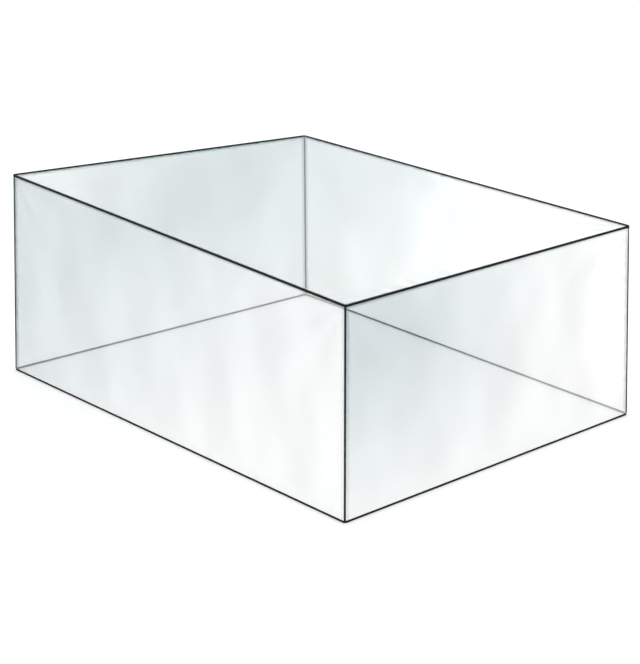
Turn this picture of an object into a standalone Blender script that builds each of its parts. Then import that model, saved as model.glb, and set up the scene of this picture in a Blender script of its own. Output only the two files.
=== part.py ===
"""A fitted cover of clear film for a garden table and its chairs, as it hangs on them.

One top panel and four wall panels meet in piped seams, and a folded binding closes the hem.
Metres, +Z up. The origin lies against the underside of the top panel, in its middle.
X runs along the long walls and Y along the short ones.
"""

import math
from collections import namedtuple

import bmesh
import bpy
from mathutils import Vector

# The box that the cover is cut to, measured along the middles of its seams.
LENGTH = 2.78
WIDTH = 2.04
DROP = 1.06

FILM = 0.001
TOP_PIPING = 0.013
CORNER_PIPING = 0.010
HEM_THICKNESS = 0.003
HEM_HEIGHT = 0.011
CORNER_RADIUS = 0.014
GAP = 0.0003
# The film's edge reaches the corner piping turned in the bend, so it stops a little earlier.
TURNED_GAP = 0.0008

# How far the hung corners lie from the corners of the cut box. The film is loose on what it
# covers: the walls lean outwards a little, and the front left corner is held up highest.
Corner = namedtuple("Corner", "name side_x side_y top_dx top_dy top_dz hem_dx hem_dy")
CORNERS = (
    Corner("front_left", -1, -1, -0.010, 0.015, 0.065, 0.005, -0.050),
    Corner("front_right", 1, -1, 0.005, 0.005, -0.005, 0.020, -0.005),
    Corner("back_right", 1, 1, -0.040, -0.035, -0.010, -0.030, 0.020),
    Corner("back_left", -1, 1, 0.045, 0.050, -0.015, 0.025, 0.075),
)
# Each side runs from one corner to the next, in the order above.
SIDES = ("front", "right", "back", "left")

# The soft swells of the hanging walls: half waves along and up the wall, and their depth outwards.
Swell = namedtuple("Swell", "side along up depth")
SWELLS = (
    Swell("front", 1, 1, -0.007),
    Swell("front", 4, 1, 0.003),
    Swell("front", 7, 2, 0.0015),
    Swell("right", 1, 1, -0.005),
    Swell("right", 3, 1, 0.003),
    Swell("right", 5, 2, -0.0015),
    Swell("back", 1, 1, -0.008),
    Swell("back", 5, 1, 0.003),
    Swell("back", 6, 2, -0.0015),
    Swell("left", 1, 1, -0.006),
    Swell("left", 4, 1, -0.003),
    Swell("left", 5, 2, 0.0015),
)
TOP_SWELLS = (
    Swell("top", 3, 2, 0.003),
    Swell("top", 5, 3, -0.0015),
)

BEND_CELLS = 3
LONG_CELLS = 20
SHORT_CELLS = 14
WALL_ROWS = 8
PIPING_SIDES = 8
FOLD_CELLS = 4

UP = Vector((0, 0, 1))


def clear_scene():
    for obj in list(bpy.data.objects):
        bpy.data.objects.remove(obj)


def plain_material(name, colour, roughness, alpha=1.0):
    material = bpy.data.materials.new(name)
    material.use_nodes = True
    shader = material.node_tree.nodes["Principled BSDF"]
    shader.inputs["Base Color"].default_value = (*colour, 1.0)
    shader.inputs["Roughness"].default_value = roughness
    shader.inputs["Metallic"].default_value = 0.0
    shader.inputs["Alpha"].default_value = alpha
    return material


def top_corners():
    return [
        Vector((c.side_x * LENGTH / 2 + c.top_dx, c.side_y * WIDTH / 2 + c.top_dy, c.top_dz))
        for c in CORNERS
    ]


def hem_corners():
    return [
        Vector((c.side_x * LENGTH / 2 + c.hem_dx, c.side_y * WIDTH / 2 + c.hem_dy, -DROP))
        for c in CORNERS
    ]


def corner_arc(before, corner, after, radius, steps):
    """Points of the arc that rounds a corner, from one tangent point to the other."""
    back = (before - corner).normalized()
    ahead = (after - corner).normalized()
    half = back.angle(ahead) / 2
    centre = corner + (back + ahead).normalized() * radius / math.sin(half)
    first = corner + back * radius / math.tan(half) - centre
    last = corner + ahead * radius / math.tan(half) - centre
    turn = math.pi - 2 * half
    points = []
    for step in range(steps + 1):
        share = step / steps
        from_first = math.sin((1 - share) * turn) / math.sin(turn)
        from_last = math.sin(share * turn) / math.sin(turn)
        points.append(centre + first * from_first + last * from_last)
    return points


def side_lines(corners, radius):
    """The four sides of a rounded loop, each from the middle of one corner's arc to the next."""
    arcs = []
    for k, corner in enumerate(corners):
        after = corners[(k + 1) % len(corners)]
        arcs.append(corner_arc(corners[k - 1], corner, after, radius, 2 * BEND_CELLS))
    lines = []
    for k, arc in enumerate(arcs):
        following = arcs[(k + 1) % len(arcs)]
        lines.append(arc[BEND_CELLS:] + following[: BEND_CELLS + 1])
    return lines


def line_length(line):
    return sum((b - a).length for a, b in zip(line, line[1:]))


def along(line, distance):
    """The point that lies a distance along a line of points."""
    for a, b in zip(line, line[1:]):
        step = (b - a).length
        if distance <= step:
            return a.lerp(b, distance / step)
        distance -= step
    return line[-1].copy()


def stations(line, margin, radius, cells):
    """Distances along a side: through its first bend, over its straight run, through its last bend."""
    bend = radius * math.pi / 4
    length = line_length(line)
    first = [margin + (bend - margin) * k / BEND_CELLS for k in range(BEND_CELLS)]
    middle = [bend + (length - 2 * bend) * k / cells for k in range(cells + 1)]
    last = [length - distance for distance in reversed(first)]
    return first + middle + last


def sample(line, margin, radius, cells):
    return [along(line, distance) for distance in stations(line, margin, radius, cells)]


def cells_of(side):
    return LONG_CELLS if side in ("front", "back") else SHORT_CELLS


def shares(points):
    """How far each point has come from the first towards the last, from 0 to 1."""
    reach = (points[-1] - points[0]).length
    return [(point - points[0]).length / reach for point in points]


def swell_at(swells, along_share, up_share):
    return sum(
        s.depth * math.sin(math.pi * s.along * along_share) * math.sin(math.pi * s.up * up_share)
        for s in swells
    )


def add_object(name, mesh, material, parent):
    obj = bpy.data.objects.new(name, mesh)
    obj.data.materials.append(material)
    obj.parent = parent
    bpy.context.scene.collection.objects.link(obj)
    return obj


def sheet(name, rows, material, parent):
    """A film panel from rows of points in its middle plane, thickened to both sides."""
    mesh = bpy.data.meshes.new(name)
    build = bmesh.new()
    grid = [[build.verts.new(point) for point in row] for row in rows]
    for low, high in zip(grid, grid[1:]):
        for k in range(len(low) - 1):
            build.faces.new((low[k], low[k + 1], high[k + 1], high[k]))
    build.to_mesh(mesh)
    build.free()
    mesh.shade_smooth()
    obj = add_object(name, mesh, material, parent)
    solidify = obj.modifiers.new("film", "SOLIDIFY")
    solidify.thickness = FILM
    solidify.offset = 0.0
    return obj


def sweep(name, path, axes, section, material, parent):
    """A solid whose section, in the two axes given for each point, follows a path."""
    mesh = bpy.data.meshes.new(name)
    build = bmesh.new()
    rings = []
    for point, (across, up) in zip(path, axes):
        rings.append([build.verts.new(point + across * a + up * b) for a, b in section])
    count = len(section)
    for ring, following in zip(rings, rings[1:]):
        for k in range(count):
            near = (k + 1) % count
            build.faces.new((ring[k], ring[near], following[near], following[k]))
    build.faces.new(rings[0])
    build.faces.new(rings[-1])
    bmesh.ops.recalc_face_normals(build, faces=build.faces)
    build.to_mesh(mesh)
    build.free()
    mesh.shade_smooth()
    mesh.set_sharp_from_angle(angle=math.radians(60))
    return add_object(name, mesh, material, parent)


def round_section(diameter):
    """A regular polygon whose flat sides lie at the piping's radius, facing the panels."""
    step = 2 * math.pi / PIPING_SIDES
    reach = diameter / 2 / math.cos(step / 2)
    return [
        (reach * math.cos(step * (k + 0.5)), reach * math.sin(step * (k + 0.5)))
        for k in range(PIPING_SIDES)
    ]


def tape_section(thickness, height):
    """A tape folded over the edge of the film: flat flanks, rounded at its two folds."""
    flank = height / 2 - thickness / 2
    section = []
    for middle, start in ((flank, 0), (-flank, math.pi)):
        for k in range(FOLD_CELLS + 1):
            angle = start + math.pi * k / FOLD_CELLS
            section.append((thickness / 2 * math.cos(angle), middle + thickness / 2 * math.sin(angle)))
    return section


def loop_axes(paths, k):
    """Axes for one side of a level loop: one across its path, square to it also where the sides meet."""
    path = [paths[k - 1][-2], *paths[k], paths[(k + 1) % len(paths)][1]]
    return [((b - a).cross(UP).normalized(), UP) for a, b in zip(path, path[2:])]


def inset(corners, distance):
    """Corners of the loop that lies a distance inside another."""
    moved = []
    for k, corner in enumerate(corners):
        back = (corners[k - 1] - corner).normalized()
        ahead = (corners[(k + 1) % len(corners)] - corner).normalized()
        moved.append(corner + (back + ahead) * distance / math.sin(back.angle(ahead)))
    return moved


def make_top_panel(material, parent):
    """The top film, hung between its four piped sides with a shallow sag."""
    clearance = TOP_PIPING / 2 + GAP
    radius = CORNER_RADIUS - clearance
    front, right, back, left = (
        sample(line, 0.0, radius, cells_of(side))
        for side, line in zip(SIDES, side_lines(inset(top_corners(), clearance), radius))
    )
    back.reverse()
    left.reverse()
    sag = sum(c.top_dz for c in CORNERS) / len(CORNERS) - FILM / 2
    swells = (Swell("top", 1, 1, -sag),) + TOP_SWELLS
    rows = []
    for up_share, west, east in zip(shares(left), left, right):
        row = []
        for along_share, south, north in zip(shares(front), front, back):
            low = front[0].lerp(front[-1], along_share)
            high = back[0].lerp(back[-1], along_share)
            point = south.lerp(north, up_share) + west.lerp(east, along_share)
            point -= low.lerp(high, up_share)
            row.append(point + UP * swell_at(swells, along_share, up_share))
        rows.append(row)
    return sheet("top_panel", rows, material, parent)


def make_wall(side, top_line, hem_line, material, parent):
    """One wall film, from under the top piping down into the hem binding."""
    margin = CORNER_PIPING / 2 + TURNED_GAP
    tops = sample(top_line, margin, CORNER_RADIUS, cells_of(side))
    hems = sample(hem_line, margin, CORNER_RADIUS, cells_of(side))
    outwards = (tops[-1] - tops[0]).cross(UP).normalized()
    swells = [s for s in SWELLS if s.side == side]
    rows = []
    for j in range(WALL_ROWS + 1):
        up_share = j / WALL_ROWS
        row = []
        for along_share, top, hem in zip(shares(tops), tops, hems):
            down = (hem - top).normalized()
            upper = top + down * (TOP_PIPING / 2 + GAP)
            lower = hem - down * (HEM_HEIGHT / 2 + GAP)
            swell = swell_at(swells, along_share, up_share)
            row.append(lower.lerp(upper, up_share) + outwards * swell)
        rows.append(row)
    return sheet(f"wall_{side}", rows, material, parent)


def make_corner_piping(corner, top, hem, material, parent):
    """The upright piping between two walls, from under the top piping to the hem binding."""
    lean = (top - hem) / (top - hem).z
    start = hem + lean * (HEM_HEIGHT / 2 + GAP)
    end = top - lean * (TOP_PIPING / 2 + GAP)
    outwards = Vector((corner.side_x, corner.side_y, 0)).normalized()
    axes = [(outwards, UP.cross(outwards))] * 2
    section = round_section(CORNER_PIPING)
    return sweep(f"corner_piping_{corner.name}", [start, end], axes, section, material, parent)


def make_loop(kind, lines, section, material, parent):
    """The four lengths that run round the cover and meet in the middle of each corner."""
    paths = [sample(line, GAP / 2, CORNER_RADIUS, 1) for line in lines]
    for k, side in enumerate(SIDES):
        sweep(f"{kind}_{side}", paths[k], loop_axes(paths, k), section, material, parent)


def make_cover():
    film = plain_material("clear_film", (0.80, 0.86, 0.90), 0.12, alpha=0.4)
    tape = plain_material("black_tape", (0.012, 0.012, 0.013), 0.6)
    cover = bpy.data.objects.new("cover", None)
    bpy.context.scene.collection.objects.link(cover)
    top_lines = side_lines(top_corners(), CORNER_RADIUS)
    hem_lines = side_lines(hem_corners(), CORNER_RADIUS)
    make_top_panel(film, cover)
    for side, top_line, hem_line in zip(SIDES, top_lines, hem_lines):
        make_wall(side, top_line, hem_line, film, cover)
    make_loop("top_piping", top_lines, round_section(TOP_PIPING), tape, cover)
    make_loop("hem_binding", hem_lines, tape_section(HEM_THICKNESS, HEM_HEIGHT), tape, cover)
    for corner, top_line, hem_line in zip(CORNERS, top_lines, hem_lines):
        make_corner_piping(corner, top_line[0], hem_line[0], tape, cover)


clear_scene()
make_cover()
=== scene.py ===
"""The looks of a fitted garden-furniture cover: clear film, black piped seams and a bound hem.

Metres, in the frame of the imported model. Each piece but the stitches stands for one solid of the
model, and all are laid out from the solids: the corner pipings give the corners, and the sheets
give the film's swells.
"""

import math
from collections import namedtuple

import bpy
import numpy as np
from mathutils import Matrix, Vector
from mathutils.bvhtree import BVHTree


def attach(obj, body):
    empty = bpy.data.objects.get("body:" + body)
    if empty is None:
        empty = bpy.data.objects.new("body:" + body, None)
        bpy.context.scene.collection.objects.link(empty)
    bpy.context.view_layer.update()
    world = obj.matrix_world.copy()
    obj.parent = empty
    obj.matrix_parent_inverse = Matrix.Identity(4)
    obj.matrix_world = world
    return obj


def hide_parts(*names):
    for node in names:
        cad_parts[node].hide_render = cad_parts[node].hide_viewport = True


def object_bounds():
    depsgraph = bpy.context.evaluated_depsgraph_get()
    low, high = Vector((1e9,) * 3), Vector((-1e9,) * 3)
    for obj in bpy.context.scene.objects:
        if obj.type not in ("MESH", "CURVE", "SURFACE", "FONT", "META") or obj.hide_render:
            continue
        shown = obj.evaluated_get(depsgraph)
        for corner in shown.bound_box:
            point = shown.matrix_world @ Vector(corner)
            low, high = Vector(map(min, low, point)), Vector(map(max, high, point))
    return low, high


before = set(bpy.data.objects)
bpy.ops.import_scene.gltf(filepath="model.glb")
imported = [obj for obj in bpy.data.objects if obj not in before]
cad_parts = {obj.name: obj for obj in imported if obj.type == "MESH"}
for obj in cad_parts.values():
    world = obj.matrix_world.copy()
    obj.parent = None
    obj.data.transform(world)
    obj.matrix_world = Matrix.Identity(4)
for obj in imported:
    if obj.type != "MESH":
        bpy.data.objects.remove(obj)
CAD_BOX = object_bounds()

# Sizes of the seams, as in the solids.
TOP_PIPING = 0.013
CORNER_PIPING = 0.010
HEM_THICKNESS = 0.003
HEM_HEIGHT = 0.011
CORNER_RADIUS = 0.014
SOLID_FILM = 0.001
GAP = 0.0003

# The corners in order round the cover, each with the way that it points, and the sides from each
# corner to the next.
CORNERS = {
    "front_left": (-1.0, -1.0, 0.0),
    "front_right": (1.0, -1.0, 0.0),
    "back_right": (1.0, 1.0, 0.0),
    "back_left": (-1.0, 1.0, 0.0),
}
SIDES = ("front", "right", "back", "left")
UP = np.array([0.0, 0.0, 1.0])

# The cut sizes of the film.
DROP = 1.06

# The film as it looks: its thickness, how far its edge is sewn into the piping and into the hem,
# the size of its mesh's cells, and the number of cells through each half of a rounded corner.
FILM = 0.0004
SEWN_IN = 0.0015
HEMMED_IN = 0.005
FILM_CELL = 0.012
BEND_CELLS = 3

# How exactly the rings at a solid's ends are level, and how far from a flat grid a solid's sheet
# is looked for.
LEVEL_TOLERANCE = 0.0003
SHEET_REACH = 0.05

# The seam allowance: a panel's turned-in rim, in cells of its grid at the lower edge, the upper
# edge and both ends, and how far inside the panel it lies.
Rim = namedtuple("Rim", "low high ends")
TOP_RIM = Rim(BEND_CELLS + 1, BEND_CELLS + 1, BEND_CELLS + 1)
WALL_RIM = Rim(0, 1, BEND_CELLS + 1)
RIM_OFFSET = 0.0009

# Puckers that the needle leaves along a seam. Each pitch has a steady wave and one whose height
# is different in each seam.
PUCKER_DEPTH = 0.0021
PUCKER_START = 0.012
PUCKER_REACH = 0.060
PUCKER_PITCHES = (0.071, 0.113, 0.187)
STEADY_PUCKER = 0.5
STEADY_PUCKER_PHASE = 1.7
CHANGING_PUCKER = 0.35

# Folds that fan out of the upper corners of a panel.
DRAG_DEPTH = 0.0055
DRAG_START = 0.10
DRAG_REACH = 0.42
DRAG_TURNS = 11.0

# Long soft waves over a whole panel, with their angles in degrees. They die out near its seams,
# and each panel turns them by a few degrees of its own.
Wave = namedtuple("Wave", "pitch angle depth")
WALL_WAVES = (
    Wave(0.53, 9.0, 0.0026),
    Wave(0.34, -14.0, 0.0018),
    Wave(0.21, 22.0, 0.0009),
)
TOP_WAVES = (
    Wave(0.71, 48.0, 0.0026),
    Wave(0.45, 63.0, 0.0016),
    Wave(0.27, 34.0, 0.0008),
)
WAVE_PHASE = 1.3
WAVE_TURN = 9.0
WAVE_MARGIN = 0.08

# The height of a ripple that counts as a full one where the film's painted highlight follows its
# ripples.
FULL_FOLD = 0.0035

# The piping's sleeve, and the small wrinkles that the stitching draws up in it and in the hem.
RING_STEP = 0.003
PIPING_SIDES = 14
WRINKLE_PITCH = 0.0088
WRINKLE_DEPTH = 0.00022
WRINKLE_SKEW = 0.8
WRINKLE_FADE = 0.4
WRINKLE_FADE_PITCH = 0.117
HEM_WRINKLE = 0.07
HEM_FOLD_POINTS = 5

# The stitches' spacing and size, how far from the piping and below the hem's upper edge their
# rows run, and how unevenly they are spaced.
STITCH_PITCH = 0.005
STITCH_LENGTH = 0.0034
STITCH_RADIUS = 0.00038
STITCH_OFFSET = 0.0026
HEM_STITCH_DROP = 0.002
STITCH_JITTER = 0.0003
STITCH_JITTER_RATE = 900.0

# A stitch's shoulders, as a share of its length in from its tips, and how far its shoulders rise
# and its tips sink, as shares of its radius.
STITCH_SHOULDER = 0.22
STITCH_RISE = 0.35
STITCH_SINK = 0.6

# Seeds shift the ripples, wrinkles and stitches, so that the panels and seams aren't all alike.
# A panel's edges are the lower one, the upper one and the two ends. A wall's lower edge has no
# row of stitches beside it, because the hem has its own.
TOP_SEED = 5.1
WALL_SEED = 1.3
WALL_SEED_STEP = 2.1
EDGE_SEEDS = (0.4, 1.1, 2.3, 3.7)
SECOND_DRAG_SEED = 1.9
TOP_STITCH_SEEDS = (1, 2, 3, 4)
WALL_STITCH_SEEDS = (None, 0, 5, 9)
CORNER_PIPING_SEED = 4

# The camera stands where the photo was drawn from: its place, its heading and its tilt.
CAMERA_PLACE = (7.3300, -6.2787, 2.5943)
CAMERA_AZIMUTH = 49.2477
CAMERA_DOWN = 18.9384
CAMERA_LENS = 100.884
CAMERA_SENSOR = 36.0
CAMERA_SIGHT = 200.0

# The floor lies just under the hem.
FLOOR_RADIUS = 60.0
FLOOR_DROP = 0.0004
FLOOR_COLOUR = (0.92, 0.92, 0.92, 1.0)
FLOOR_ROUGHNESS = 0.9
FLOOR_SPECULAR = 0.1

Light = namedtuple("Light", "place target size power")
LIGHTS = {
    "overhead": Light((-1.0, -1.0, 6.0), (0.0, 0.0, -1.0), (5.0, 5.0), 60.0),
    "window": Light((-4.6, 7.9, 2.5), (0.0, 0.0, 0.0), (3.9, 3.3), 44.0),
}
SKY_COLOUR = (1.0, 1.0, 1.0, 1.0)
SKY_STRENGTH = 1.14


# ---------------------------------------------------------------- lines


def unit(vector):
    return vector / np.linalg.norm(vector)


def travel(points, axis=0):
    """The distance from the first point along a line, or along one axis of a grid."""
    way = np.cumsum(np.linalg.norm(np.diff(points, axis=axis), axis=-1), axis=axis)
    return np.concatenate([np.zeros_like(way.take([0], axis)), way], axis=axis)


def read_off(distances, way, values):
    """Vectors given at the distances of way, read off at other distances."""
    return np.stack([np.interp(distances, way, values[:, axis]) for axis in range(3)], axis=1)


def along(line, distances):
    return read_off(distances, travel(line), line)


def opening(corners, k):
    """The directions from a loop's corner to both of its neighbours, and half their angle."""
    back = unit(corners[k - 1] - corners[k])
    ahead = unit(corners[(k + 1) % len(corners)] - corners[k])
    return back, ahead, math.acos(float(back @ ahead)) / 2


def sharp_corners(middles):
    """The corners of a loop from the middles of the arcs that round them."""
    corners = []
    for k, middle in enumerate(middles):
        back, ahead, half = opening(middles, k)
        corners.append(middle - unit(back + ahead) * CORNER_RADIUS * (1 / math.sin(half) - 1))
    return corners


def inset(corners, distance):
    """The corners of a loop that runs a distance inside another."""
    moved = []
    for k, corner in enumerate(corners):
        back, ahead, half = opening(corners, k)
        moved.append(corner + (back + ahead) * distance / math.sin(2 * half))
    return moved


def corner_arc(corners, k, radius, steps):
    """The arc that rounds one corner of a loop."""
    back, ahead, half = opening(corners, k)
    centre = corners[k] + unit(back + ahead) * radius / math.sin(half)
    first = corners[k] + back * radius / math.tan(half) - centre
    last = corners[k] + ahead * radius / math.tan(half) - centre
    turn = math.pi - 2 * half
    share = np.linspace(0, 1, steps + 1)[:, None]
    return centre + (first * np.sin((1 - share) * turn) + last * np.sin(share * turn)) / math.sin(turn)


def side_lines(corners, radius):
    """The four sides of a rounded loop, each from the middle of one corner's arc to the next."""
    half_arc = 2 * BEND_CELLS
    arcs = [corner_arc(corners, k, radius, 2 * half_arc) for k in range(len(corners))]
    lines = []
    for k, arc in enumerate(arcs):
        following = arcs[(k + 1) % len(arcs)]
        lines.append(np.concatenate([arc[half_arc:], following[: half_arc + 1]]))
    return lines


def stations(line, margin, radius, step, cells=None):
    """Distances along a side: fine through its two bends and even over its straight run.

    The straight run has the cells that are asked for, or else cells about a step long.
    """
    bend = radius * math.pi / 4
    length = travel(line)[-1]
    first = np.linspace(margin, bend, BEND_CELLS, endpoint=False)
    if cells is None:
        cells = round((length - 2 * bend) / step)
    middle = np.linspace(bend, length - bend, cells + 1)
    return np.concatenate([first, middle, length - first[::-1]])


def straight_cells(distances):
    """The number of even cells in a side's straight run."""
    return len(distances) - 1 - 2 * BEND_CELLS


# ---------------------------------------------------------------- reading the solids


def node_points(node):
    mesh = bpy.data.objects[node].data
    points = np.empty(len(mesh.vertices) * 3)
    mesh.vertices.foreach_get("co", points)
    return points.reshape(-1, 3)


def level_ring(points, upper):
    """The middle of a corner piping's highest or lowest level ring."""
    level = points[:, 2].max() if upper else points[:, 2].min()
    ring = points[np.abs(points[:, 2] - level) < LEVEL_TOLERANCE]
    return (ring.min(axis=0) + ring.max(axis=0)) / 2


def seam_ends(corner):
    """Where the line through a corner piping meets the top seam and the hem."""
    points = node_points(f"corner_piping_{corner}")
    high = level_ring(points, True)
    low = level_ring(points, False)
    lean = (high - low) / (high - low)[2]
    return high + lean * (TOP_PIPING / 2 + GAP), low - lean * (HEM_HEIGHT / 2 + GAP)


def solid_tree(node):
    mesh = bpy.data.objects[node].data
    points = [vertex.co.copy() for vertex in mesh.vertices]
    return BVHTree.FromPolygons(points, [tuple(face.vertices) for face in mesh.polygons])


def swell_of(node, grid, normals):
    """How far the middle of a solid's sheet stands off a flat grid, at each of its points."""
    tree = solid_tree(node)
    swell = np.zeros(grid.shape[:2])
    for index in np.ndindex(*swell.shape):
        normal = Vector(normals[index])
        start = Vector(grid[index]) + normal * SHEET_REACH
        hit = tree.ray_cast(start, -normal, 2 * SHEET_REACH)[0]
        if hit is not None:
            swell[index] = SHEET_REACH - (start - hit).length - SOLID_FILM / 2
    return swell


# ---------------------------------------------------------------- meshes and pieces


def new_mesh(name, points, faces, smooth=True):
    mesh = bpy.data.meshes.new(name)
    mesh.from_pydata(points.tolist(), [], faces)
    mesh.update()
    if smooth:
        mesh.shade_smooth()
    return mesh


def add_piece(name, mesh, material, slot, *nodes):
    piece = bpy.data.objects.new(name, mesh)
    bpy.context.scene.collection.objects.link(piece)
    mesh.materials.append(material)
    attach(piece, "root")
    if nodes:
        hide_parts(*nodes)
    return piece


def grid_faces(rows, columns):
    corner = np.arange(rows * columns).reshape(rows, columns)
    quads = np.stack([corner[:-1, :-1], corner[:-1, 1:], corner[1:, 1:], corner[1:, :-1]], axis=-1)
    return quads.reshape(-1, 4).tolist()


def grid_normals(grid):
    """The directions out of the cover at each point of a panel's grid."""
    across = np.gradient(grid, axis=1)
    up = np.gradient(grid, axis=0)
    normals = np.cross(across, up)
    return normals / np.linalg.norm(normals, axis=-1, keepdims=True)


# ---------------------------------------------------------------- the film's shape


def pucker(distance, run, seed):
    """Small gathers beside a seam: none in the seam itself, and gone a hand's breadth away."""
    wave = 0.0
    for k, pitch in enumerate(PUCKER_PITCHES):
        turn = 2 * math.pi * run / pitch
        changing = CHANGING_PUCKER * math.sin(seed * (k + 1)) * np.sin(turn + seed * k)
        steady = STEADY_PUCKER * np.sin(turn + STEADY_PUCKER_PHASE * seed * (k + 1))
        wave = wave + (changing + steady)
    rise = 1 - np.exp(-((distance / PUCKER_START) ** 2))
    return PUCKER_DEPTH * wave * rise * np.exp(-distance / PUCKER_REACH)


def drag(right, up, seed):
    """Folds that fan out of a corner where the film is pulled."""
    reach = np.hypot(right, up)
    turn = np.arctan2(up, right)
    rise = 1 - np.exp(-((reach / DRAG_START) ** 2))
    fan = np.sin(turn * 2) * np.cos(turn * DRAG_TURNS + seed)
    return DRAG_DEPTH * fan * rise * np.exp(-reach / DRAG_REACH)


def ripples(right, up, waves, seed):
    """All small unevenness of a film panel, from the distances to its first end and lower edge."""
    left = right[:, -1:] - right
    down = up[-1:] - up
    nearest = np.minimum.reduce([right, up, left, down])
    calm = 1 - np.exp(-((nearest / WAVE_MARGIN) ** 2))
    total = np.zeros_like(right)
    for k, wave in enumerate(waves):
        angle = math.radians(wave.angle + WAVE_TURN * math.sin(seed + k))
        run = right * math.cos(angle) + up * math.sin(angle)
        phase = seed * (k + WAVE_PHASE)
        total += wave.depth * np.sin(2 * math.pi * run / wave.pitch + phase) * calm
    edges = ((up, right), (down, right), (right, up), (left, up))
    for (distance, run), edge_seed in zip(edges, EDGE_SEEDS):
        total += pucker(distance, run, seed + edge_seed)
    total += drag(right, down, seed)
    total += drag(left, down, seed + SECOND_DRAG_SEED)
    return total


def wall_grid(top_line, hem_line):
    """A wall's flat grid, from inside the hem up to inside the top piping."""
    margin = CORNER_PIPING / 2 - SEWN_IN
    distances = stations(top_line, margin, CORNER_RADIUS, FILM_CELL)
    cells = straight_cells(distances)
    tops = along(top_line, distances)
    hems = along(hem_line, stations(hem_line, margin, CORNER_RADIUS, FILM_CELL, cells))
    down = hems - tops
    down /= np.linalg.norm(down, axis=1, keepdims=True)
    tops = tops + down * (TOP_PIPING / 2 - SEWN_IN)
    hems = hems - down * (HEM_HEIGHT / 2 - HEMMED_IN)
    share = np.linspace(0, 1, round(DROP / FILM_CELL) + 1)[:, None, None]
    return hems + (tops - hems) * share


def top_grid(corners):
    """A smooth patch between four sides, by blending opposite sides with as many cells each."""
    depth = TOP_PIPING / 2 - SEWN_IN
    radius = CORNER_RADIUS - depth
    cells = [None, None]
    sides = []
    for k, line in enumerate(side_lines(inset(corners, depth), radius)):
        distances = stations(line, 0.0, radius, FILM_CELL, cells[k % 2])
        cells[k % 2] = straight_cells(distances)
        sides.append(along(line, distances))
    front, right, back, left = sides[0], sides[1], sides[2][::-1], sides[3][::-1]
    across = (travel(front) / travel(front)[-1])[None, :, None]
    deep = (travel(left) / travel(left)[-1])[:, None, None]
    blend = front[None] * (1 - deep) + back[None] * deep
    blend = blend + left[:, None] * (1 - across) + right[:, None] * across
    low = front[0] * (1 - across) + front[-1] * across
    high = back[0] * (1 - across) + back[-1] * across
    return blend - (low * (1 - deep) + high * deep)


def with_rim(points, normals, rim):
    """Points and faces of a panel and of its turned-in rim, and which points the rim repeats."""
    rows, columns = points.shape[:2]
    row = np.arange(rows - 1)[:, None]
    column = np.arange(columns - 1)
    middle = (row >= rim.low) & (row < rows - 1 - rim.high)
    middle = middle & (column >= rim.ends) & (column < columns - 1 - rim.ends)
    faces = grid_faces(rows, columns)
    turned = np.array(faces)[~middle.ravel()]
    used, numbers = np.unique(turned, return_inverse=True)
    inner = (points - normals * RIM_OFFSET).reshape(-1, 3)[used]
    faces = faces + (numbers.reshape(turned.shape) + rows * columns).tolist()
    return np.concatenate([points.reshape(-1, 3), inner]), faces, used


def film_piece(node, grid, waves, seed, rim, material):
    """The film of one panel: the solid's own swells with the finer ripples on them.

    The grid that it follows and its normals come back with it.
    """
    normals = grid_normals(grid)
    fine = ripples(travel(grid, axis=1), travel(grid), waves, seed)
    film = grid + normals * (swell_of(node, grid, normals) + fine)[..., None]
    points, faces, used = with_rim(film, normals, rim)
    mesh = new_mesh(f"film_{node}", points, faces)
    # The ripples' heights, which the film's colour reads for its painted highlight on their crests.
    height = np.tanh(fine / FULL_FOLD).ravel()
    fold = mesh.attributes.new("fold", "FLOAT", "POINT")
    fold.data.foreach_set("value", np.concatenate([height, height[used]]))
    piece = add_piece(f"film_{node}", mesh, material, "clear_film", node)
    piece.visible_shadow = False
    solidify = piece.modifiers.new("film", "SOLIDIFY")
    solidify.thickness = FILM
    solidify.offset = 0.0
    return piece, film, normals


# ---------------------------------------------------------------- seams


def loop_paths(lines):
    return [along(line, stations(line, 0.0, CORNER_RADIUS, RING_STEP)) for line in lines]


def outwards(paths, k):
    """The level direction out of the cover, at each point of one side's path."""
    path = np.concatenate([paths[k - 1][-2:-1], paths[k], paths[(k + 1) % len(paths)][1:2]])
    across = np.cross(path[2:] - path[:-2], UP)
    return across / np.linalg.norm(across, axis=1, keepdims=True)


def add_tape_uv(mesh, path, section):
    """UVs in metres for the sides of a swept mesh: along its path and round its section."""
    way = travel(path)
    girth = travel(np.concatenate([section, section[:1]]))
    u = np.stack([way[:-1], way[:-1], way[1:], way[1:]], axis=1)
    v = np.stack([girth[:-1], girth[1:], girth[1:], girth[:-1]], axis=1)
    values = np.zeros((len(mesh.loops), 2))
    sides = 4 * len(u) * len(v)
    values[:sides, 0] = np.repeat(u, len(v), axis=0).ravel()
    values[:sides, 1] = np.tile(v, (len(u), 1)).ravel()
    mesh.uv_layers.new(name="tape").data.foreach_set("uv", values.ravel())


def swept(name, path, across, upright, sections):
    """A closed mesh whose section, one for each point of the path, follows it."""
    count = sections.shape[1]
    points = path[:, None] + across[:, None] * sections[..., :1] + upright * sections[..., 1:]
    ring = np.arange(count)
    near = np.roll(ring, -1)
    base = (np.arange(len(path) - 1) * count)[:, None]
    quads = np.stack([base + ring, base + near, base + count + near, base + count + ring], axis=-1)
    faces = quads.reshape(-1, 4).tolist()
    faces.append(ring[::-1].tolist())
    faces.append((ring + (len(path) - 1) * count).tolist())
    mesh = new_mesh(name, points.reshape(-1, 3), faces)
    add_tape_uv(mesh, path, sections[0])
    return mesh


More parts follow.
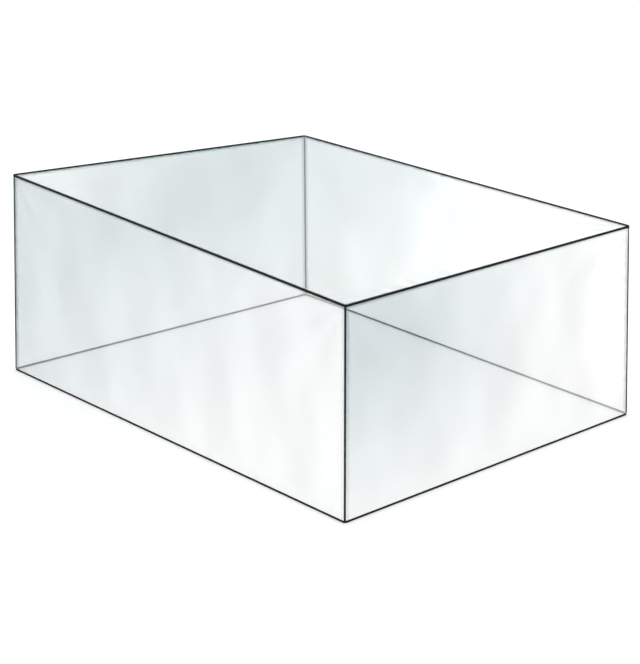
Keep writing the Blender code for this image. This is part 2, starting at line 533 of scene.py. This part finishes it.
def round_sections(path, diameter, seed):
    """Rings of a cord in its sleeve, with the small wrinkles that the stitching draws up."""
    angle = 2 * math.pi * (np.arange(PIPING_SIDES) + 0.5) / PIPING_SIDES
    way = travel(path)[:, None]
    wrinkle = np.sin(2 * math.pi * way / WRINKLE_PITCH + WRINKLE_SKEW * np.sin(angle + seed))
    fade = WRINKLE_FADE * np.sin(2 * math.pi * way / WRINKLE_FADE_PITCH + seed)
    wrinkle = wrinkle * (1 - WRINKLE_FADE + fade)
    radius = diameter / 2 - WRINKLE_DEPTH * (1 - wrinkle)
    return np.stack([radius * np.cos(angle), radius * np.sin(angle)], axis=-1)


def tape_sections(path, seed):
    """A tape folded up over the film's edge: flat flanks that swell a little between stitches."""
    flank = HEM_HEIGHT / 2 - HEM_THICKNESS / 2
    turns = np.linspace(0, math.pi, HEM_FOLD_POINTS)
    across = np.concatenate([np.cos(turns), -np.cos(turns)]) * HEM_THICKNESS / 2
    fold = flank + np.sin(turns) * HEM_THICKNESS / 2
    way = travel(path)[:, None]
    wrinkle = 1 - HEM_WRINKLE * (1 - np.sin(2 * math.pi * way / WRINKLE_PITCH + seed))
    return np.stack([across * wrinkle, np.concatenate([fold, -fold]) + 0 * way], axis=-1)


# ---------------------------------------------------------------- stitches


def spindle_faces():
    """The faces of one stitch, whose ten points are a tip, two rings of four and a tip."""
    faces = []
    for k in range(4):
        near = (k + 1) % 4
        faces.append((0, 1 + near, 1 + k))
        faces.append((9, 5 + k, 5 + near))
        faces.append((1 + k, 1 + near, 5 + near, 5 + k))
    return faces


def stitch_mesh(name, starts, ends, normals):
    """Short raised stitches, each a small spindle between two needle holes."""
    run = ends - starts
    side = np.cross(run / np.linalg.norm(run, axis=1, keepdims=True), normals)
    ring = np.stack([side, normals, -side, -normals], axis=1) * STITCH_RADIUS
    shoulder = run * STITCH_SHOULDER
    raised = normals * STITCH_RADIUS * STITCH_RISE
    sunk = normals * STITCH_RADIUS * STITCH_SINK
    points = [
        (starts - sunk)[:, None],
        (starts + shoulder + raised)[:, None] + ring,
        (ends - shoulder + raised)[:, None] + ring,
        (ends - sunk)[:, None],
    ]
    pattern = spindle_faces()
    faces = [tuple(10 * n + v for v in face) for n in range(len(starts)) for face in pattern]
    return new_mesh(name, np.concatenate(points, axis=1).reshape(-1, 3), faces)


def stitch_row(path, normals, seed):
    """Starts, ends and normals of the stitches along a path."""
    way = travel(path)
    count = int(way[-1] / STITCH_PITCH)
    first = (np.arange(count) + 0.5) * way[-1] / count - STITCH_LENGTH / 2
    first = first + STITCH_JITTER * np.sin(first * STITCH_JITTER_RATE + seed)
    starts = along(path, first)
    ends = along(path, first + STITCH_LENGTH)
    facing = read_off(first, way, normals)
    return starts, ends, facing / np.linalg.norm(facing, axis=1, keepdims=True)


def film_row(film, normals, seed):
    """Stitches on a film's outer face, beside the seam at its grid's first row."""
    distance = STITCH_OFFSET + SEWN_IN
    way = travel(film)
    row = np.argmax(way > distance, axis=0) - 1
    column = np.arange(film.shape[1])
    share = (distance - way[row, column]) / (way[row + 1, column] - way[row, column])
    path = film[row, column] + (film[row + 1, column] - film[row, column]) * share[:, None]
    facing = normals[row, column]
    return stitch_row(path + facing * FILM / 2, facing, seed)


def add_stitches(name, rows, material):
    joined = [np.concatenate(part) for part in zip(*rows)]
    add_piece(name, stitch_mesh(name, *joined), material, "black_tape")


def stitch_panel(node, film, normals, seeds, material):
    """Rows of stitches beside a panel's seams. An edge whose seed is None has no row."""
    ends = film.swapaxes(0, 1), normals.swapaxes(0, 1)
    edges = (
        (film, normals),
        (film[::-1], normals[::-1]),
        ends,
        (ends[0][::-1], ends[1][::-1]),
    )
    rows = [film_row(*edge, seed) for edge, seed in zip(edges, seeds) if seed is not None]
    add_stitches(f"stitches_{node}", rows, material)


# ---------------------------------------------------------------- materials


# The painted sheen over each panel: the film's pale haze, with a painted blue-grey shade that
# fades across the panel as a reflection would. It is a run of values from 0 to 1 across the panel.
# The run follows a slope, or it falls off round a centre. Each stop gives a place on the run and the
# tint there: 0 is the deepest painted blue-grey shade and 1 is the film's pale haze, all but clear.
# The two rear walls are seen through the front ones, so they are paler.
Slope = namedtuple("Slope", "per_metre start")
Round = namedtuple("Round", "centre reach")
Tint = namedtuple("Tint", "run deep clear stops")
SHEEN_DARK = (0.24, 0.37, 0.40)
REAR_SHEEN_DARK = (0.60, 0.70, 0.73)
SHEEN_PALE = (0.945, 0.95, 0.94)
LONG_WALL_SHEEN_STOPS = ((0.0, 0.0), (0.27, 0.03), (0.49, 0.38), (0.66, 0.72), (0.83, 0.93), (1.0, 1.0))
SHEEN_TINTS = {
    "top_panel": Tint(
        Slope((0.259, 0.245, 0.0), 0.622),
        (0.13, 0.26, 0.27),
        (0.91, 0.92, 0.91),
        (
            (0.0, 0.55),
            (0.15, 0.29),
            (0.25, 0.13),
            (0.35, 0.0),
            (0.43, 0.05),
            (0.52, 0.19),
            (0.72, 0.45),
            (0.85, 0.54),
            (1.0, 0.72),
        ),
    ),
    "wall_front": Tint(Slope((0.259, 0.0, -0.45), 0.345), SHEEN_DARK, SHEEN_PALE, LONG_WALL_SHEEN_STOPS),
    "wall_right": Tint(
        Round((1.39, -0.82, -0.14), (1.5, 1.62, 0.96)),
        SHEEN_DARK,
        SHEEN_PALE,
        (
            (0.0, 0.95),
            (0.09, 0.84),
            (0.21, 0.68),
            (0.35, 0.62),
            (0.47, 0.47),
            (0.56, 0.37),
            (0.72, 0.18),
            (0.87, 0.0),
        ),
    ),
    "wall_back": Tint(Slope((0.259, 0.0, -0.84), 0.359), REAR_SHEEN_DARK, SHEEN_PALE, LONG_WALL_SHEEN_STOPS),
    "wall_left": Tint(
        Round((-1.38, 0.80, -0.14), (1.5, 1.71, 0.975)),
        REAR_SHEEN_DARK,
        SHEEN_PALE,
        (
            (0.0, 1.0),
            (0.09, 0.93),
            (0.23, 0.79),
            (0.35, 0.68),
            (0.47, 0.48),
            (0.56, 0.33),
            (0.72, 0.14),
            (0.87, 0.0),
        ),
    ),
}

# How far faint clouds push the painted sheen to either side, their fineness, and how much
# paler the film is painted on the crest of a full ripple, as a painted highlight.
SHEEN_CLOUDS = 0.10
SHEEN_CLOUD_SCALE = 2.6
SHEEN_CLOUD_DETAIL = 3.0
CREST_HIGHLIGHT_SHARE = 0.12

# The film's surface, with a grain too fine to see from afar.
FILM_ALPHA = 0.2254
FILM_ROUGHNESS = 0.18
FILM_SPECULAR = 0.6
GRAIN_SCALE = 240.0
GRAIN_DETAIL = 3.0
GRAIN_STRENGTH = 0.08
GRAIN_DEPTH = 0.0002

# The tape's weave, from the shade between its yarns to the shade on them.
WARP_SCALE = 620.0
WARP_DISTORTION = 1.2
WEFT_SCALE = 480.0
WEAVE_STRENGTH = 0.5
WEAVE_DEPTH = 0.0002
TAPE_SHADES = ((0.004, 0.004, 0.0045, 1.0), (0.022, 0.022, 0.024, 1.0))
TAPE_ROUGHNESS = 0.7
TAPE_SPECULAR = 0.12

# The thread's mottled shades.
MOTTLE_SCALE = 900.0
MOTTLE_DETAIL = 2.0
THREAD_SHADES = ((0.010, 0.010, 0.011, 1.0), (0.035, 0.035, 0.038, 1.0))
THREAD_ROUGHNESS = 0.45


def new_material(name):
    material = bpy.data.materials.new(name)
    material.use_nodes = True
    tree = material.node_tree
    return material, tree, tree.nodes["Principled BSDF"]


def set_values(node, **values):
    """Sets sockets of a node by their names, with _ for a space."""
    for name, value in values.items():
        node.inputs[name.replace("_", " ")].default_value = value


def add_node(tree, kind, **values):
    node = tree.nodes.new(kind)
    for key, value in values.items():
        setattr(node, key, value)
    return node


def add_noise(tree, place, scale, detail):
    noise = add_node(tree, "ShaderNodeTexNoise")
    set_values(noise, Scale=scale, Detail=detail)
    tree.links.new(place, noise.inputs["Vector"])
    return noise.outputs["Fac"]


def add_shades(tree, share, shades):
    ramp = add_node(tree, "ShaderNodeValToRGB")
    for element, shade in zip(ramp.color_ramp.elements, shades):
        element.color = shade
    tree.links.new(share, ramp.inputs["Fac"])
    return ramp.outputs["Color"]


def add_bump(tree, height, strength, distance, shader):
    bump = add_node(tree, "ShaderNodeBump")
    set_values(bump, Strength=strength, Distance=distance)
    tree.links.new(height, bump.inputs["Height"])
    tree.links.new(bump.outputs["Normal"], shader.inputs["Normal"])


def slope_run(tree, place, run):
    dot = add_node(tree, "ShaderNodeVectorMath", operation="DOT_PRODUCT")
    dot.inputs[1].default_value = run.per_metre
    shift = add_node(tree, "ShaderNodeMath", operation="ADD")
    shift.inputs[1].default_value = run.start
    tree.links.new(place, dot.inputs[0])
    tree.links.new(dot.outputs["Value"], shift.inputs[0])
    return shift.outputs["Value"]


def round_run(tree, place, run):
    centred = add_node(tree, "ShaderNodeMapping")
    moved = [-c / r for c, r in zip(run.centre, run.reach)]
    set_values(centred, Location=moved, Scale=[1 / r for r in run.reach])
    fade = add_node(tree, "ShaderNodeTexGradient", gradient_type="SPHERICAL")
    tree.links.new(place, centred.inputs["Vector"])
    tree.links.new(centred.outputs["Vector"], fade.inputs["Vector"])
    return fade.outputs["Fac"]


def add_sheen_clouds(tree, place, run):
    """The painted sheen's run, pushed to either side by faint clouds."""
    clouded = add_node(tree, "ShaderNodeMath", operation="MULTIPLY_ADD")
    clouded.inputs[1].default_value = SHEEN_CLOUDS
    centred = add_node(tree, "ShaderNodeMath", operation="ADD")
    centred.inputs[1].default_value = -SHEEN_CLOUDS / 2
    tree.links.new(add_noise(tree, place, SHEEN_CLOUD_SCALE, SHEEN_CLOUD_DETAIL), clouded.inputs[0])
    tree.links.new(run, clouded.inputs[2])
    tree.links.new(clouded.outputs["Value"], centred.inputs[0])
    return centred.outputs["Value"]


def add_painted_sheen(tree, run, sheen):
    """The run's values as colours of the painted sheen, from its deep blue-grey painted shade to the
    film's pale haze.
    """
    ramp = add_node(tree, "ShaderNodeValToRGB")
    elements = ramp.color_ramp.elements
    while len(elements) < len(sheen.stops):
        elements.new(1.0)
    for element, (position, share) in zip(elements, sheen.stops):
        element.position = position
        element.color = [d + (c - d) * share for d, c in zip(sheen.deep, sheen.clear)] + [1.0]
    tree.links.new(run, ramp.inputs["Fac"])
    return ramp.outputs["Color"]


def add_crest_highlights(tree, colour):
    """The colour with a painted highlight: a little paler where the film ripples outwards."""
    fold = add_node(tree, "ShaderNodeAttribute", attribute_name="fold")
    crest = add_node(tree, "ShaderNodeMath", operation="MULTIPLY_ADD")
    crest.inputs[1].default_value = CREST_HIGHLIGHT_SHARE
    crest.inputs[2].default_value = 1.0
    paler = add_node(tree, "ShaderNodeVectorMath", operation="SCALE")
    tree.links.new(fold.outputs["Fac"], crest.inputs[0])
    tree.links.new(colour, paler.inputs["Vector"])
    tree.links.new(crest.outputs["Value"], paler.inputs["Scale"])
    return paler.outputs["Vector"]


def film_material(node):
    """Clear soft film, a little milky, with a painted sheen: a blue-grey painted shade fading across
    the panel.
    """
    material, tree, shader = new_material(f"film_{node}")
    sheen = SHEEN_TINTS[node]
    place = add_node(tree, "ShaderNodeTexCoord").outputs["Object"]
    follow = slope_run if isinstance(sheen.run, Slope) else round_run
    run = add_sheen_clouds(tree, place, follow(tree, place, sheen.run))
    # The film's colour: its pale haze with the painted sheen across the panel and a painted highlight
    # on its ripples' crests.
    colour = add_crest_highlights(tree, add_painted_sheen(tree, run, sheen))
    tree.links.new(colour, shader.inputs["Base Color"])
    set_values(shader, Alpha=FILM_ALPHA, Roughness=FILM_ROUGHNESS, Specular_IOR_Level=FILM_SPECULAR)
    grain = add_noise(tree, place, GRAIN_SCALE, GRAIN_DETAIL)
    add_bump(tree, grain, GRAIN_STRENGTH, GRAIN_DEPTH, shader)
    return material


def tape_material():
    """Black woven tape: a fine twill that runs with the seam."""
    material, tree, shader = new_material("black_tape_woven")
    where = add_node(tree, "ShaderNodeUVMap", uv_map="tape").outputs["UV"]
    warp = add_node(tree, "ShaderNodeTexWave", wave_type="BANDS", bands_direction="DIAGONAL")
    set_values(warp, Scale=WARP_SCALE, Distortion=WARP_DISTORTION)
    weft = add_node(tree, "ShaderNodeTexWave", wave_type="BANDS", bands_direction="X")
    set_values(weft, Scale=WEFT_SCALE)
    weave = add_node(tree, "ShaderNodeMath", operation="MULTIPLY")
    for wave, socket in zip((warp, weft), weave.inputs):
        tree.links.new(where, wave.inputs["Vector"])
        tree.links.new(wave.outputs["Fac"], socket)
    colour = add_shades(tree, weave.outputs["Value"], TAPE_SHADES)
    tree.links.new(colour, shader.inputs["Base Color"])
    add_bump(tree, weave.outputs["Value"], WEAVE_STRENGTH, WEAVE_DEPTH, shader)
    set_values(shader, Roughness=TAPE_ROUGHNESS, Specular_IOR_Level=TAPE_SPECULAR)
    return material


def thread_material():
    material, tree, shader = new_material("black_thread")
    place = add_node(tree, "ShaderNodeTexCoord").outputs["Object"]
    mottle = add_noise(tree, place, MOTTLE_SCALE, MOTTLE_DETAIL)
    tree.links.new(add_shades(tree, mottle, THREAD_SHADES), shader.inputs["Base Color"])
    set_values(shader, Roughness=THREAD_ROUGHNESS)
    return material


# ---------------------------------------------------------------- the cover


def make_top_film(corners, thread):
    grid = top_grid(corners)
    material = film_material("top_panel")
    piece, film, normals = film_piece("top_panel", grid, TOP_WAVES, TOP_SEED, TOP_RIM, material)
    stitch_panel("top_panel", film, normals, TOP_STITCH_SEEDS, thread)


def make_wall_films(top_lines, hem_lines, thread):
    for k, side in enumerate(SIDES):
        node = f"wall_{side}"
        grid = wall_grid(top_lines[k], hem_lines[k])
        seed = WALL_SEED + WALL_SEED_STEP * k
        piece, film, normals = film_piece(node, grid, WALL_WAVES, seed, WALL_RIM, film_material(node))
        seeds = [None if row_seed is None else row_seed + k for row_seed in WALL_STITCH_SEEDS]
        stitch_panel(node, film, normals, seeds, thread)


def make_top_seam(lines, tape):
    paths = loop_paths(lines)
    for k, side in enumerate(SIDES):
        sections = round_sections(paths[k], TOP_PIPING, k)
        mesh = swept(f"piping_top_{side}", paths[k], outwards(paths, k), UP, sections)
        add_piece(f"piping_top_{side}", mesh, tape, "black_tape", f"top_piping_{side}")


def make_hem(lines, tape, thread):
    paths = loop_paths(lines)
    for k, side in enumerate(SIDES):
        across = outwards(paths, k)
        mesh = swept(f"binding_hem_{side}", paths[k], across, UP, tape_sections(paths[k], k))
        add_piece(f"binding_hem_{side}", mesh, tape, "black_tape", f"hem_binding_{side}")
        middle = paths[k] + UP * (HEM_HEIGHT / 2 - HEM_STITCH_DROP)
        rows = [
            stitch_row(middle + across * HEM_THICKNESS / 2, across, k),
            stitch_row(middle - across * HEM_THICKNESS / 2, -across, k),
        ]
        add_stitches(f"stitches_hem_{side}", rows, thread)


def make_corner_seams(top_middles, hem_middles, tape):
    for k, (corner, pointing) in enumerate(CORNERS.items()):
        top, hem = top_middles[k], hem_middles[k]
        lean = (top - hem) / (top - hem)[2]
        start = hem + lean * HEM_HEIGHT / 2
        end = top - lean * (TOP_PIPING / 2 - SEWN_IN)
        steps = round(np.linalg.norm(end - start) / RING_STEP)
        path = start + (end - start) * np.linspace(0, 1, steps + 1)[:, None]
        out = unit(np.array(pointing))
        across = np.broadcast_to(out, path.shape)
        sections = round_sections(path, CORNER_PIPING, k + CORNER_PIPING_SEED)
        mesh = swept(f"piping_{corner}", path, across, np.cross(UP, out), sections)
        add_piece(f"piping_{corner}", mesh, tape, "black_tape", f"corner_piping_{corner}")


def make_cover():
    top_middles, hem_middles = zip(*[seam_ends(corner) for corner in CORNERS])
    corners = sharp_corners(top_middles)
    top_lines = side_lines(corners, CORNER_RADIUS)
    hem_lines = side_lines(sharp_corners(hem_middles), CORNER_RADIUS)
    tape = tape_material()
    thread = thread_material()
    make_top_film(corners, thread)
    make_wall_films(top_lines, hem_lines, thread)
    make_top_seam(top_lines, tape)
    make_hem(hem_lines, tape, thread)
    make_corner_seams(top_middles, hem_middles, tape)


# ---------------------------------------------------------------- stage, light and camera


def make_floor():
    corners = [(-1, -1), (1, -1), (1, 1), (-1, 1)]
    level = float(CAD_BOX[0][2]) - FLOOR_DROP
    points = np.array([(x * FLOOR_RADIUS, y * FLOOR_RADIUS, level) for x, y in corners])
    mesh = new_mesh("floor", points, [(0, 1, 2, 3)], smooth=False)
    floor = bpy.data.objects.new("floor", mesh)
    bpy.context.scene.collection.objects.link(floor)
    material, _, shader = new_material("pale_floor")
    set_values(shader, Base_Color=FLOOR_COLOUR, Roughness=FLOOR_ROUGHNESS)
    set_values(shader, Specular_IOR_Level=FLOOR_SPECULAR)
    mesh.materials.append(material)


def make_lights():
    for name, light in LIGHTS.items():
        data = bpy.data.lights.new(name, "AREA")
        data.shape = "RECTANGLE"
        data.size, data.size_y = light.size
        data.energy = light.power
        lamp = bpy.data.objects.new(name, data)
        lamp.location = light.place
        towards = Vector(light.target) - Vector(light.place)
        lamp.rotation_euler = towards.to_track_quat("-Z", "Y").to_euler()
        bpy.context.scene.collection.objects.link(lamp)


def make_world():
    world = bpy.data.worlds.new("studio")
    world.use_nodes = True
    set_values(world.node_tree.nodes["Background"], Color=SKY_COLOUR, Strength=SKY_STRENGTH)
    bpy.context.scene.world = world


def make_camera():
    data = bpy.data.cameras.new("camera")
    data.lens = CAMERA_LENS
    data.sensor_width = CAMERA_SENSOR
    data.clip_end = CAMERA_SIGHT
    camera = bpy.data.objects.new("camera", data)
    camera.location = CAMERA_PLACE
    camera.rotation_euler = (math.radians(90 - CAMERA_DOWN), 0.0, math.radians(CAMERA_AZIMUTH))
    bpy.context.scene.collection.objects.link(camera)
    bpy.context.scene.camera = camera


def set_view():
    settings = bpy.context.scene.view_settings
    settings.view_transform = "Standard"
    settings.look = "None"
    settings.exposure = 0.0


make_camera()
make_floor()
make_world()
make_lights()
set_view()
make_cover()
